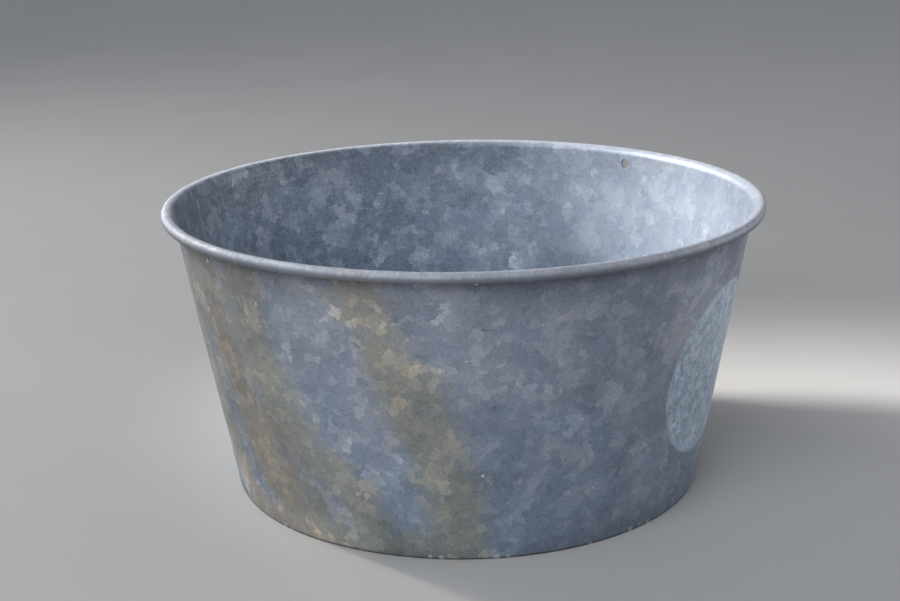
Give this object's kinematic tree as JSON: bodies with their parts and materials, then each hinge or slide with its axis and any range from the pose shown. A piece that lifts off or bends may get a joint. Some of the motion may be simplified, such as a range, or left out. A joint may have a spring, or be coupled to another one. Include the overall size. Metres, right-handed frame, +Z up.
{
  "type": "round galvanised tub",
  "caption": "Open round wash tub of galvanised sheet steel with tapered wall, wired rolled rim, folded side and bottom seams, and a hanging hole under the rim.",
  "frame": {"origin": "centre of the round foot, on the floor plane", "axes": "+Z up out of the open mouth, -Y towards the side with the plain front face, +X to that face's right"},
  "size_m": [0.54, 0.54, 0.258],
  "materials": {
    "galvanised_sheet": "hot-dip zinc with a dull crystalline spangle",
    "steel_wire": "drawn steel wire, lightly galvanised",
    "solder": "soft solder, dull and slightly wavy"
  },
  "bodies": {
    "root": {"wall_sheet": "galvanised_sheet", "rim_wire": "steel_wire", "bottom_disc": "galvanised_sheet", "bottom_seam_solder": "solder", "side_seam_solder": "solder"}
  },
  "joints": []
}
